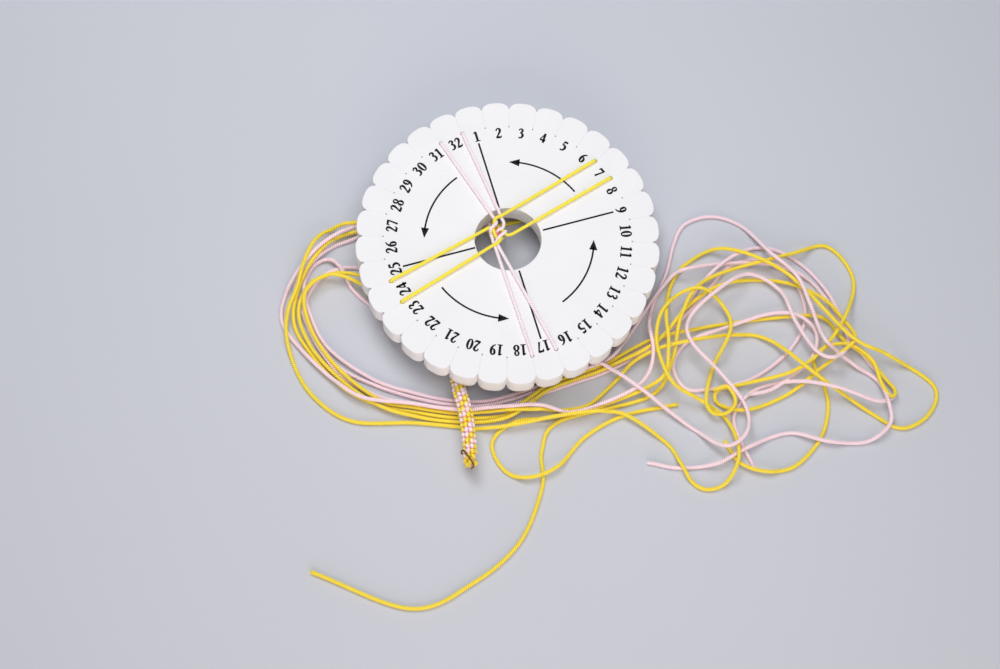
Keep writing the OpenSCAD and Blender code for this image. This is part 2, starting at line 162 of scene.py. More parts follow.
class DiskSettings(bpy.types.PropertyGroup):
    disk_d: length_prop("Disk diameter", "Outside diameter over the petals", 150)
    thickness: length_prop("Thickness", "Thickness of the foam", 12)
    lift: length_prop("Lift", "Height of the underside above the table", 10)
    hole_d: length_prop("Hole", "Diameter of the centre hole", 33)
    slot_depth: length_prop("Slot depth", "From the rim to the inner end of a slot", 13.5)
    petal_notch: length_prop("Petal notch", "Depth of the V between two petals", 2.8)
    edge_round: length_prop("Edge round", "Rounding of the die-cut edges", 0.3)
    slit_w: length_prop("Slit", "Width of a closed slot", 0.03)
    mouth_w: length_prop("Mouth", "Width of a slot at the rim", 1.7)
    mouth_depth: length_prop("Mouth depth", "From the rim to where a slot closes", 0.7)
    eye_d: length_prop("Eye", "Eye at the end of a free slot", 0.75)
    dial_turn: bpy.props.FloatProperty(name="Dial turn", description="Turn of the dial from the +Y axis",
                                       default=math.radians(16.36), unit="ROTATION")
    foam: colour_prop("Foam", "White of the foam", "#F3F3F6")
    ink: colour_prop("Ink", "Black of the print", "#08090B")
    digit_h: length_prop("Digit height", "Height of the printed numbers", 5.6)
    number_r: length_prop("Number circle", "Radius to the middle of the numbers", 58.1)


class CordSettings(bpy.types.PropertyGroup):
    cord_d: length_prop("Cord", "Diameter of one plaited cord", 2)
    span_d: length_prop("Taut cord", "Diameter of a cord where it is pulled taut", 1.75)
    drop_r: length_prop("Drop", "Bend of a cord from its eye onto the table", 4)
    elbow_r: length_prop("Elbow", "Bend of a cord over the edge of its eye", 1.5)
    rib_pitch: length_prop("Rib pitch", "Distance between two ribs of the plait", 1.15)
    rib_h: length_prop("Rib height", "Height of a rib of the plait", 0.26)
    cross_fit: length_prop("Crossing room", "Room between crossing cords", 0.08)
    # Each yarn has a lit colour and a painted shade colour for the valleys between its ribs
    yellow: colour_prop("Yellow", "Lit face of the yellow yarn", "#FFFA4C")
    yellow_deep: colour_prop("Deep yellow", "Yellow between the ribs", "#EE9C06")
    pink: colour_prop("Pink", "Lit face of the pink yarn", "#FFFCFF")
    pink_deep: colour_prop("Deep pink", "Pink between the ribs", "#EF92B2")


class BraidSettings(bpy.types.PropertyGroup):
    braid_d: length_prop("Braid", "Diameter of the round braid", 6.8)
    bend_r: length_prop("Bend", "Bend of the braid below the hole", 5.8)
    stitch: length_prop("Stitch", "Length of braid from one stitch of a strand to its next", 2.2)
    # The crevice colours are painted shade: the yarn drawn darker and warmer deep between two stitches
    yellow_crevice: colour_prop("Yellow crevice", "Yellow yarn deep between two stitches", "#DE6A08")
    pink_crevice: colour_prop("Pink crevice", "Pink yarn deep between two stitches", "#E66E88")
    wire_d: length_prop("Wire", "Diameter of the tie wire", 0.9)
    wire: colour_prop("Wire colour", "Lacquered copper of the tie", "#9C6638")


class StageSettings(bpy.types.PropertyGroup):
    floor: colour_prop("Floor", "Matte table top", "#CBCED7")
    key: bpy.props.FloatProperty(name="Key light", description="Power of the main soft light", default=5.75,
                                 unit="POWER")
    fill: bpy.props.FloatProperty(name="Fill", description="Strength of the even light around", default=0.26)


SETTINGS = {"kumihimo_disk": DiskSettings, "kumihimo_cord": CordSettings,
            "kumihimo_braid": BraidSettings, "kumihimo_stage": StageSettings}


def settings(name):
    return getattr(bpy.context.scene, "kumihimo_" + name)


def mm(value):
    return value / MM


def feed(node, inputs):
    """Sets a node's inputs; each is a value or the socket that feeds it."""
    for key, value in inputs.items():
        if isinstance(value, bpy.types.NodeSocket):
            node.id_data.links.new(value, node.inputs[key])
        else:
            node.inputs[key].default_value = value


def add(tree, kind, inputs=None, **values):
    """A new node with its settings and inputs."""
    made = tree.nodes.new(kind)
    for key, value in values.items():
        setattr(made, key, value)
    feed(made, inputs or {})
    return made


def calc(tree, operation, *values):
    """The result of a maths node."""
    return add(tree, "ShaderNodeMath", dict(enumerate(values)), operation=operation).outputs[0]


def new_material(name):
    """A material with one Principled shader; returns the material, its tree and the shader."""
    found = bpy.data.materials.new(name)
    found.use_nodes = True
    tree = found.node_tree
    return found, tree, tree.nodes["Principled BSDF"]


def noise(tree, size_mm, detail):
    """Noise of one size, fixed to the piece."""
    where = add(tree, "ShaderNodeTexCoord").outputs["Object"]
    return add(tree, "ShaderNodeTexNoise",
               {"Vector": where, "Scale": 1 / (size_mm * MM), "Detail": detail}).outputs["Fac"]


def mixed(tree, share, a, b):
    """The colour a, and b by a share."""
    return add(tree, "ShaderNodeMix", {"Factor": share, "A": a, "B": b}, data_type="RGBA").outputs["Result"]


def ranged(tree, value, low, high):
    """A share as a value from low to high."""
    return add(tree, "ShaderNodeMapRange", {"Value": value, "To Min": low, "To Max": high}).outputs["Result"]


def bumped(tree, height, strength, depth_mm):
    """The normal of a finely uneven surface."""
    return add(tree, "ShaderNodeBump",
               {"Height": height, "Strength": strength, "Distance": depth_mm * MM}).outputs["Normal"]


def dimmed(colour, share):
    return tuple(c * share for c in colour[:3]) + (1.0,)


# Closed-cell EVA foam, die-cut from sheet: matte and almost white, with a fine pebble of cut cells
def foam_material():
    found, tree, shader = new_material("eva_foam_die_cut")
    foam = settings("disk").foam
    where = add(tree, "ShaderNodeTexCoord").outputs["Object"]
    cells = add(tree, "ShaderNodeTexVoronoi", {"Vector": where, "Scale": 1 / (0.55 * MM)}).outputs["Distance"]
    feed(shader, {"Base Color": mixed(tree, noise(tree, 22, 3.0), foam, dimmed(foam, 0.93)),
                  "Roughness": ranged(tree, noise(tree, 0.9, 2.0), 0.62, 0.86),
                  "Normal": bumped(tree, cells, 0.18, 0.12), "IOR": 1.45, "Specular IOR Level": 0.3})
    return found


# Screen-print ink on foam: flat black, a little thin where the foam's cells show through
def ink_material():
    found, tree, shader = new_material("screen_print_ink")
    ink = settings("disk").ink
    thin = tuple(c + 0.02 for c in ink[:3]) + (1.0,)
    feed(shader, {"Base Color": mixed(tree, noise(tree, 0.6, 2.0), ink, thin), "Roughness": 0.75,
                  "Specular IOR Level": 0.12})
    return found


# Plaited polyester satin cord with a soft sheen; painted light on each rib's crown, painted shade between
# ribs
def cord_material(name, lit, deep):
    found, tree, shader = new_material(name)
    rib = add(tree, "ShaderNodeAttribute", attribute_name="rib").outputs["Fac"]
    yarn = noise(tree, 0.35, 2.0)
    # Tone from the rib's height: the lit colour on the crowns, painted shade deep between the ribs
    tone = calc(tree, "MULTIPLY_ADD", rib, 0.74, calc(tree, "MULTIPLY_ADD", yarn, 0.3, 0.12))
    feed(shader, {"Base Color": mixed(tree, tone, deep, lit), "Normal": bumped(tree, yarn, 0.25, 0.08),
                  "Roughness": 0.5, "Specular IOR Level": 0.35, "Sheen Weight": 0.45, "Sheen Roughness": 0.4})
    return found


# Lacquered copper wire: brown metal with duller patches where it was bent
def wire_material():
    found, tree, shader = new_material("lacquered_copper_wire")
    base = settings("braid").wire
    worn = noise(tree, 1.6, 3.0)
    feed(shader, {"Base Color": mixed(tree, worn, dimmed(base, 0.45), base), "Metallic": 0.85,
                  "Roughness": ranged(tree, worn, 0.42, 0.24)})
    return found


# Matte laminate table top: one even cool grey
def floor_material():
    found, tree, shader = new_material("matte_table_top")
    base = settings("stage").floor
    cloud = noise(tree, 160, 2.0)
    feed(shader, {"Base Color": mixed(tree, cloud, base, dimmed(base, 0.96)), "Roughness": 0.8})
    return found


def place(name, data):
    """An object of some data, in the scene."""
    made = bpy.data.objects.new(name, data)
    bpy.context.scene.collection.objects.link(made)
    return made


def mesh_object(name, points, faces, material=None, edges=()):
    """A mesh object at the origin from points in millimetres."""
    mesh = bpy.data.meshes.new(name)
    mesh.from_pydata([tuple(c * MM for c in p) for p in points], list(edges), [list(f) for f in faces])
    if material:
        mesh.materials.append(material)
    return place(name, mesh)


# Ribs that wind round a cord side by side, and the share of their height that lies below its surface
RIBS_ROUND, RIB_SUNK = 2.0, 0.7


def plaited_cord_tree():
    """Geometry nodes that lay a plaited cord with raised ribs along a line."""
    tree = bpy.data.node_groups.new("plaited_cord", "GeometryNodeTree")
    kinds = {"Geometry": "Geometry", "Cord Diameter": "Float", "Rib Pitch": "Float", "Rib Height": "Float",
             "Ring Spacing": "Float", "Sides": "Int", "Finish": "Material"}
    for name, kind in kinds.items():
        tree.interface.new_socket(name, in_out="INPUT", socket_type="NodeSocket" + kind)
    tree.interface.new_socket("Geometry", in_out="OUTPUT", socket_type="NodeSocketGeometry")
    given = add(tree, "NodeGroupInput").outputs
    line = add(tree, "GeometryNodeMeshToCurve", {"Mesh": given["Geometry"]}).outputs["Curve"]
    even = add(tree, "GeometryNodeResampleCurve",
               {"Curve": line, "Length": given["Ring Spacing"]}, mode="LENGTH")
    half = calc(tree, "MULTIPLY", given["Cord Diameter"], 0.5)
    ring = add(tree, "GeometryNodeCurvePrimitiveCircle", {"Resolution": given["Sides"], "Radius": half})
    # Each point of the tube keeps its length along the cord and its share of the way round it
    kept = []
    for curve, measure in ((even, "Length"), (ring, "Factor")):
        spot = add(tree, "GeometryNodeSplineParameter").outputs[measure]
        capture = add(tree, "GeometryNodeCaptureAttribute", {0: curve.outputs["Curve"]})
        capture.capture_items.new("FLOAT", measure)
        feed(capture, {1: spot})
        kept.append(capture.outputs)
    along, around = kept
    tube = add(tree, "GeometryNodeCurveToMesh",
               {"Curve": along[0], "Profile Curve": around[0], "Fill Caps": True})
    count = calc(tree, "DIVIDE", along[1], given["Rib Pitch"])
    turns = calc(tree, "ADD", count, calc(tree, "MULTIPLY", around[1], RIBS_ROUND))
    crest = calc(tree, "COSINE", calc(tree, "MULTIPLY", turns, math.tau))
    rib = calc(tree, "MULTIPLY_ADD", crest, 0.5, 0.5)
    high = calc(tree, "MULTIPLY", calc(tree, "ADD", rib, -RIB_SUNK), given["Rib Height"])
    normal = add(tree, "GeometryNodeInputNormal").outputs[0]
    out = add(tree, "ShaderNodeVectorMath", {0: normal, "Scale": high}, operation="SCALE").outputs[0]
    moved = add(tree, "GeometryNodeSetPosition", {"Geometry": tube.outputs["Mesh"], "Offset": out})
    # The rib's profile is also stored as the tone: the lit colour on its crown, painted shade in its valleys
    toned = add(tree, "GeometryNodeStoreNamedAttribute",
                {"Geometry": moved.outputs[0], "Name": "rib", "Value": rib}, data_type="FLOAT")
    soft = add(tree, "GeometryNodeSetShadeSmooth", {"Geometry": toned.outputs[0], "Shade Smooth": True})
    real = add(tree, "GeometryNodeRealizeInstances", {"Geometry": soft.outputs[0]})
    done = add(tree, "GeometryNodeSetMaterial", {"Geometry": real.outputs[0], "Material": given["Finish"]})
    add(tree, "NodeGroupOutput", {0: done.outputs[0]})
    return tree


def bake(made, tree, inputs):
    """Runs a tree on an object with its named inputs, and leaves the result as a plain mesh."""
    worker = made.modifiers.new(tree.name, "NODES")
    worker.node_group = tree
    for item in tree.interface.items_tree:
        if item.in_out == "INPUT" and item.name in inputs:
            worker[item.identifier] = inputs[item.name]
    graph = bpy.context.evaluated_depsgraph_get()
    result = bpy.data.meshes.new_from_object(made.evaluated_get(graph), preserve_all_data_layers=True,
                                             depsgraph=graph)
    made.modifiers.clear()
    old, made.data = made.data, result
    bpy.data.meshes.remove(old)
    result.name = made.name
    return made


# Sides of a cord's tube, and the step of its rings in millimetres
CORD_SIDES, RING_STEP = 10, 0.2


def plait(name, lines, material, diameter):
    """One object of plaited cords along lines of points in millimetres."""
    c = settings("cord")
    points, edges = [], []
    for line in lines:
        first = len(points)
        points += [tuple(p) for p in line]
        edges += [(i, i + 1) for i in range(first, len(points) - 1)]
    made = mesh_object(name, points, [], edges=edges)
    tree = bpy.data.node_groups.get("plaited_cord") or plaited_cord_tree()
    return bake(made, tree, {"Cord Diameter": diameter, "Rib Pitch": c.rib_pitch, "Rib Height": c.rib_h,
                             "Ring Spacing": RING_STEP * MM, "Sides": CORD_SIDES, "Finish": material})


# Tone of a plain fibre, near that of a rib's crown
PLAIN_TONE = 0.85


def tubes(name, lines, diameter_mm, material):
    """One object of plain round wires or fibres along lines of points in millimetres."""
    data = bpy.data.curves.new(name, "CURVE")
    data.dimensions, data.bevel_depth, data.bevel_resolution = "3D", diameter_mm / 2 * MM, 2
    data.use_fill_caps = True
    for line in lines:
        run = data.splines.new("POLY")
        run.points.add(len(line) - 1)
        run.points.foreach_set("co", [v for p in line for v in (*(np.array(p) * MM), 1.0)])
    drawn = place(name, data)
    graph = bpy.context.evaluated_depsgraph_get()
    mesh = bpy.data.meshes.new_from_object(drawn.evaluated_get(graph))
    bpy.data.objects.remove(drawn)
    mesh.name = name
    mesh.polygons.foreach_set("use_smooth", [True] * len(mesh.polygons))
    mesh.materials.clear()
    mesh.materials.append(material)
    tone = mesh.attributes.new("rib", "FLOAT", "POINT")
    tone.data.foreach_set("value", [PLAIN_TONE] * len(mesh.vertices))
    return place(name, mesh)


def cord_finish(name, braided=False):
    """The finish of a cord by the first word of its name; in the braid its painted shade between the stitches
    is deeper.
    """
    shade = name.split("_")[0]
    # The lit colour and the painted shade colour of the yarn
    lit, deep = getattr(settings("cord"), shade), getattr(settings("cord"), shade + "_deep")
    if braided:
        deep = getattr(settings("braid"), shade + "_crevice")
    label = ("braided_satin_cord_" if braided else "plaited_satin_cord_") + shade
    return bpy.data.materials.get(label) or cord_material(label, lit, deep)


def unit(v):
    return v / np.linalg.norm(v)


def ray(a):
    """Unit vector of an angle in the plan."""
    return np.array([math.cos(a), math.sin(a)])


def smooth(t):
    """A share from 0 to 1 that starts and ends gently."""
    return t * t * (3 - 2 * t)


def side_of(o, a, b):
    """Positive where b lies left of the way from o to a in the plan."""
    return (a[0] - o[0]) * (b[1] - o[1]) - (a[1] - o[1]) * (b[0] - o[0])


def across(p, closed=True):
    """Unit vectors to the left of a flat line at each of its points."""
    run = np.roll(p, -1, 0) - np.roll(p, 1, 0)
    if not closed:
        run[0], run[-1] = p[1] - p[0], p[-1] - p[-2]
    run /= np.linalg.norm(run, axis=1)[:, None]
    return np.stack([-run[:, 1], run[:, 0]], 1)


def dial_angle(k):
    """Angle of the dial's number k; slot k lies half a step past it."""
    return math.pi / 2 + settings("disk").dial_turn - STEP * (k - 1)


def eye_at(k):
    """Plan of the eye at the inner end of slot k."""
    d = settings("disk")
    return mm(d.disk_d / 2 - d.slot_depth) * ray(dial_angle(k + 0.5))


def spline(p, j, t):
    """Point at t between control points j and j + 1 of a smooth line."""
    a = p[j - 1] if j > 0 else 2 * p[0] - p[1]
    d = p[j + 2] if j + 2 < len(p) else 2 * p[-1] - p[-2]
    b, c = p[j], p[j + 1]
    bow = 2 * a - 5 * b + 4 * c - d
    return 0.5 * (2 * b + (c - a) * t + bow * t * t + (3 * b - a - 3 * c + d) * t ** 3)


def fine(p, steps):
    """A smooth line through control points, with some steps from each to the next."""
    return [spline(p, j, t) for j in range(len(p) - 1) for t in np.arange(steps) / steps] + [p[-1]]


def elbow(at, way, bend, level, rise, degrees):
    """Points of a bend from upright to level; with a rise of 1 it comes from above, with -1 from below."""
    return [np.array([*(at + way * bend * (1 - math.cos(a))), level + rise * bend * (1 - math.sin(a))])
            for a in np.radians(degrees)]


def metres(line):
    """The points of a line in metres, and its length."""
    path = [[c * MM for c in p] for p in line]
    return path, sum(math.dist(a, b) for a, b in zip(path, path[1:]))


class Heap:
    """Tails that settle one on another, stretch by stretch."""

    def __init__(self, plans):
        c = settings("cord")
        self.radius = mm(c.cord_d) / 2
        self.apart = mm(c.cord_d + c.cross_fit)
        self.low = []
        self.rings = {name: [[*p, self.radius] for p in plan] for name, plan in plans.items()}
        for name, start in HEAP:
            later = [other for tail, other in HEAP if tail == name and other > start]
            last = self.ring_of(min(later)) if later else len(plans[name]) - 1
            self.settle(name, self.ring_of(start) if start else 0, last)
        for rings in self.rings.values():
            self.ease(rings)

    @staticmethod
    def ring_of(point):
        """Ring of a route's point: a plan has one point more at its start and one between each two."""
        return 2 * point + 2

    def over(self, z, s):
        """Height that clears a cord's height z from a distance s in the plan."""
        return 0.0 if s >= self.apart else z + math.sqrt(self.apart ** 2 - s * s)

    @staticmethod
    def along(p, a, b):
        """Share of the way from a to b that lies nearest to p."""
        vx, vy = b[0] - a[0], b[1] - a[1]
        size = vx * vx + vy * vy
        return 0.0 if size < 1e-6 else min(1.0, max(0.0, ((p[0] - a[0]) * vx + (p[1] - a[1]) * vy) / size))

    def off(self, p, a, b):
        """Distance of p from the way from a to b."""
        t = self.along(p, a, b)
        return math.hypot(p[0] - a[0] - t * (b[0] - a[0]), p[1] - a[1] - t * (b[1] - a[1]))

    def need(self, a, b, c, d):
        """Height at which the segment from a to b clears the one from c to d."""
        rise = d[2] - c[2]
        best = max(self.over(c[2] + rise * self.along(a, c, d), self.off(a, c, d)),
                   self.over(c[2] + rise * self.along(b, c, d), self.off(b, c, d)),
                   self.over(c[2], self.off(c, a, b)), self.over(d[2], self.off(d, a, b)))
        left, right = side_of(a, b, c), side_of(a, b, d)
        if left * right < 0 and side_of(c, d, a) * side_of(c, d, b) < 0:
            best = max(best, self.over(c[2] + rise * left / (left - right), 0.0))
        return best

    def near(self, a, b, c, d):
        """Whether two segments come near enough to touch."""
        g = self.apart
        return (max(c[0], d[0]) > min(a[0], b[0]) - g and min(c[0], d[0]) < max(a[0], b[0]) + g
                and max(c[1], d[1]) > min(a[1], b[1]) - g and min(c[1], d[1]) < max(a[1], b[1]) + g)

    def lift(self, name, i, under):
        """Raises ring i of a tail over the segments under it, apart from its own next ones."""
        rings = self.rings[name]
        for j in (i - 1, i):
            if 0 <= j < len(rings) - 1:
                a, b = rings[j], rings[j + 1]
                for tail, t, c, d in under:
                    if (tail != name or abs(t - j) > OWN_RINGS) and self.near(a, b, c, d):
                        rings[i][2] = max(rings[i][2], self.need(a, b, c, d))

    @staticmethod
    def ease(rings):
        """Spreads a tail's climbs over the cords below it, away from the disk and the braid."""
        n = len(rings)
        for i, j in [(i, i - 1) for i in range(1, n)] + [(i, i + 1) for i in range(n - 2, -1, -1)]:
            x, y, z = rings[i]
            if math.hypot(x, y) > EASE_RADIUS and (x > BRAID_CORNER[0] or y > BRAID_CORNER[1]):
                rings[i][2] = max(z, rings[j][2] - EASE_SLOPE * math.dist(rings[i][:2], rings[j][:2]))

    def settle(self, name, first, last):
        """Lays one stretch on the stretches before it and on itself."""
        rings = self.rings[name]
        for i in range(first, last + 1):
            self.lift(name, i, self.low)
        self.ease(rings[first:last + 1])
        pieces = [(name, t, rings[t], rings[t + 1]) for t in range(first, last)]
        for i in range(first, last + 1):
            self.lift(name, i, pieces[:max(0, i - first - OWN_RINGS)])
        self.low += pieces


def tail_plan(name):
    """Points of one tail's plan from the bend below its eye on."""
    eye = eye_at(USED_SLOTS[name])
    route = [np.array(p, float) for p in ROUTES[name]]
    return [eye + mm(settings("cord").drop_r) * unit(route[0] - eye)] + route


def halved(p):
    """The points of a plan with one more between each two."""
    return [q for j in range(len(p) - 1) for q in (p[j], spline(p, j, 0.5))] + [p[-1]]


def as_seen(x, y, z):
    """A raised point of the heap, moved along the line of sight, because its plan was read on the table."""
    cx, cy, cz = CAMERA_AT
    share = min(1.0, max(0.0, (x - SIGHT_FROM) / SIGHT_OVER)) * (z - mm(settings("cord").cord_d) / 2) / cz
    return [x + (cx - x) * share, y + (cy - y) * share, z]


def tail_line(name, heights):
    """Fine centreline of one tail: down from its eye, round onto the table and along its route."""
    d, c = settings("disk"), settings("cord")
    eye, lift, bend, radius = eye_at(USED_SLOTS[name]), mm(d.lift), mm(c.drop_r), mm(c.cord_d) / 2
    p = tail_plan(name)
    u = unit(p[1] - eye)
    line = [[*eye, z] for z in np.linspace(lift, bend + radius, 6)]
    line += elbow(eye, u, bend, radius, 1, np.arange(15, 90, 15))
    for j in range(len(p) - 1):
        steps = max(4, 2 * round(np.linalg.norm(p[j + 1] - p[j]) / TAIL_STEP))
        for t in np.arange(steps) / steps:
            k, s = divmod(2 * t, 1)
            low, high = heights[2 * j + int(k)], heights[2 * j + int(k) + 1]
            line.append(as_seen(*spline(p, j, t), low + (high - low) * smooth(s)))
    line.append(as_seen(*p[-1], heights[-1]))
    return line


class KUMIHIMO_OT_stage(bpy.types.Operator):
    """Camera at the photograph's angle, soft lights and a plain table top"""
    bl_idname = "kumihimo.stage"
    bl_label = "Stage"

    def execute(self, context):
        s = settings("stage")
        scene = context.scene
        camera = place("photo_camera", bpy.data.cameras.new("photo_camera"))
        lens = camera.data
        lens.lens, lens.sensor_width, lens.clip_end = CAMERA_LENS, CAMERA_SENSOR, CAMERA_FAR
        turn = Matrix((CAMERA_RIGHT, CAMERA_UP, CAMERA_BACK)).transposed().to_4x4()
        camera.matrix_world = Matrix.Translation(Vector(CAMERA_AT) * MM) @ turn
        scene.camera = camera
        scene.view_settings.view_transform = "Standard"
        world = bpy.data.worlds.new("even_light")
        world.use_nodes = True
        scene.world = world
        feed(world.node_tree.nodes["Background"], {"Color": FILL_TINT, "Strength": s.fill})
        for name, (at, size, share, tint) in LIGHTS.items():
            light = bpy.data.lights.new(name, "AREA")
            light.energy, light.size, light.color = s.key * share, size, tint
            aim = Vector(at).to_track_quat("Z", "Y").to_matrix().to_4x4()
            place(name, light).matrix_world = Matrix.Translation(at) @ aim
        corners = [(x * TABLE_REACH, y * TABLE_REACH, 0) for x, y in ((-1, -1), (1, -1), (1, 1), (-1, 1))]
        floor = mesh_object("table_top", corners, [(0, 1, 2, 3)], floor_material())
        return {"FINISHED"}


# Loose fibres of a cut end: their number, thickness, start before the end and least height
FIBRES, FIBRE_D, FIBRE_BEFORE, FIBRE_LOW = 26, 0.2, 0.3, 0.12


def frayed_end(name, line):
    """The loose fibres at the cut end of a cord."""
    dice = np.random.default_rng(len(name) + int(name[-1]))
    end, ahead = np.array(line[-1]), unit(np.array(line[-1]) - np.array(line[-2]))
    side = unit(np.cross(ahead, [0, 0, 1]))
    rise = np.cross(side, ahead)
    radius = mm(settings("cord").cord_d) / 2
    fibres = []
    for turn in dice.uniform(0, math.tau, FIBRES):
        out = (side * math.cos(turn) + rise * math.sin(turn)) * radius
        start, reach, splay = dice.uniform(0.3, 0.85), dice.uniform(0.7, 1.9), dice.uniform(0.0, 0.55)
        fibre = [end + out * (start + splay * t * t) + ahead * (reach * t - FIBRE_BEFORE)
                 for t in np.linspace(0, 1, 5)]
        fibres.append([[*p[:2], max(p[2], FIBRE_LOW)] for p in fibre])
    return tubes(f"cord_end_{name}", fibres, FIBRE_D, cord_finish(name))


class KUMIHIMO_OT_tails(bpy.types.Operator):
    """The limp ends of the cords, heaped on the table"""
    bl_idname = "kumihimo.tails"
    bl_label = "Cord tails"

    def execute(self, context):
        heap = Heap({name: halved(tail_plan(name)) for name in ROUTES})
        size = settings("cord").cord_d
        for name in ROUTES:
            line = tail_line(name, [ring[2] for ring in heap.rings[name]])
            shade, number = name.split("_")
            piece = plait(f"cord_tail_{name}", [line], cord_finish(name), size)
            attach(piece, "disk")
            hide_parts(f"{shade}_tail_{number}")
            end = frayed_end(name, line)
            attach(end, "disk")
        return {"FINISHED"}


def braid_line():
    """Centreline of the braid: down through the hole, round under the disk and out past the rim."""
    d = settings("disk")
    top, bend, low = mm(d.lift + d.thickness) + HEAD_RISE, mm(settings("braid").bend_r), BRAID_ROUTE[0][2]
    head, hang = np.array(HEAD_AT), np.array(BRAID_AT, float)
    u = unit(np.array(BRAID_ROUTE[0][:2]) - hang)
    line = [np.array([*(head + (hang - head) * smooth(t)), top + (low + bend - top) * t])
            for t in np.linspace(0, 1, 14)]
    line += elbow(hang, u, bend, low, 1, np.arange(6, 90, 6))
    p = [np.array([*(hang + u * bend), low])] + [np.array(q, float) for q in BRAID_ROUTE]
    for j in range(len(p) - 1):
        steps = max(4, round(np.linalg.norm(p[j + 1] - p[j])))
        line += [spline(p, j, t) for t in np.arange(steps) / steps]
    return np.array(line + [p[-1]])


def frames_along(line):
    """Two side directions at each point of a line, with no twist between points."""
    lean = np.gradient(line, axis=0)
    lean /= np.linalg.norm(lean, axis=1)[:, None]
    side = np.array([1.0, 0, 0])
    sides = []
    for t in lean:
        side = unit(side - t * (side @ t))
        sides.append(side)
    sides = np.array(sides)
    return sides, np.cross(lean, sides)


# Colours of the strands in their order round the braid
STRANDS = ("yellow", "yellow", "pink", "pink") * 2
# Strands in millimetres: radius of their ring, its swing over a stitch, diameter, and step of their lines
STRAND_RING, STRAND_SWING, STRAND_D, STRAND_STEP = 2.15, 0.55, 2.25, 0.35
# Length over which the braid's head widens, and the part of it that lies before the first point
CROWN_LENGTH, CROWN_BEFORE = 3.2, 0.6
# The tied end: its length, the length over which it closes, how far each colour is drawn in
TIED_LENGTH, TIED_OVER, TIED_IN = 5.5, 3, {"yellow": 0.06, "pink": 0.75}
# Distances from the braid's axis where its tone is painted shade and where lit, and those tones; ribs add to
# the lit one
DEEP_AT, LIT_AT, CREVICE_SHADE_TONE, LIT_TONE, RIB_TONE = 2.5, 3.35, -0.3, 0.56, 0.34
# How much painted light the tied end keeps at least, its reach from the braid's end, and the length over
# which that fades
END_LIT, END_REACH, END_FADE = 0.75, 6, 2


def strand_lines(shade):
    """Centrelines of the strands of one colour: each lies along a stitch, then dips to the next column."""
    line = braid_line()
    sides, fronts = frames_along(line)
    s = np.concatenate([[0], np.cumsum(np.linalg.norm(np.diff(line, axis=0), axis=1))])
    even = np.arange(0, s[-1], STRAND_STEP)
    centre, side, front = (np.stack([np.interp(even, s, v[:, i]) for i in range(3)], 1)
                           for v in (line, sides, fronts))
    dome = np.sin(np.minimum(1.0, (even + CROWN_BEFORE) / CROWN_LENGTH) * math.pi / 2)
    # At the tied end the pink strands are tucked in, and the yellow ones spread and close over them
    tuck = smooth(np.clip((TIED_LENGTH - s[-1] + even) / TIED_OVER, 0, 1))
    dome *= 1 - tuck * TIED_IN[shade]
    lines = []
    for k, name in enumerate(STRANDS):
        if name == shade:
            stitch, part = np.divmod(even / mm(settings("braid").stitch) + k / len(STRANDS), 1)
            spread = tuck * (0.5 if k % 4 else -0.5)
            column = k + stitch + smooth(np.clip(2 * part - 1, 0, 1)) + spread
            angle = (column * math.tau / len(STRANDS))[:, None]
            ring = (STRAND_RING + STRAND_SWING * np.cos(math.tau * (part - 0.25))) * dome
            lines.append(centre + ring[:, None] * (side * np.cos(angle) + front * np.sin(angle)))
    return lines


def tones(piece):
    """The stored tone of a cord's points, its share of lit colour against painted shade, and its values."""
    tone = piece.data.attributes["rib"].data
    values = np.empty(len(tone), np.float32)
    tone.foreach_get("value", values)
    return tone, values


def deepen(piece, line):
    """Paints shade on the braid's strands: darkens their tone towards its axis, where they dip between the
    stitches.
    """
    tree = KDTree(len(line))
    for i, p in enumerate(line):
        tree.insert(p, i)
    tree.balance()
    tone, values = tones(piece)
    near, out = zip(*(tree.find(v.co / MM)[1:] for v in piece.data.vertices))
    share = np.clip((np.array(out) - DEEP_AT) / (LIT_AT - DEEP_AT), 0, 1)
    # The closed end has no deep stitches, so it gets little painted shade
    to_end = np.linalg.norm(line[list(near)] - line[-1], axis=1)
    share = np.maximum(share, END_LIT * np.clip((END_REACH - to_end) / END_FADE, 0, 1))
    tone.foreach_set("value", (LIT_TONE + RIB_TONE * values) * share + CREVICE_SHADE_TONE * (1 - share))


class KUMIHIMO_OT_braid(bpy.types.Operator):
    """The finished round braid of eight strands"""
    bl_idname = "kumihimo.braid"
    bl_label = "Braid"

    def execute(self, context):
        b = settings("braid")
        for shade, node in (("yellow", "braid_neck"), ("pink", "braid_run")):
            piece = plait(f"braid_strands_{shade}", strand_lines(shade), cord_finish(shade, True),
                          STRAND_D * MM)
            deepen(piece, braid_line())
            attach(piece, "braid")
            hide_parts(node)
        path, real = metres(braid_line())
        return {"FINISHED"}


# The wire's way round the braid, in degrees from the top with the distance from the braid's end, and its turn
# down over the end in parts of its radius
WIRE_LAP = [(-115, 6.3), (-95, 6.7), (-75, 7), (-58, 7.1), (-43, 6.6), (-30, 5.4), (-16, 4), (-2, 2.6),
            (8, 1.4), (15, 0.4), (19, -0.6)]
WIRE_DROP = [(0.3, 0.72), (0.22, 0.38), (0.08, 0)]
# Room between the wire and the braid's side and end, and the lean of the braid there to x and z
WIRE_GAP, WIRE_PAST, END_LEAN = 0.2, 0.55, (-1 / 14, 1 / 11)


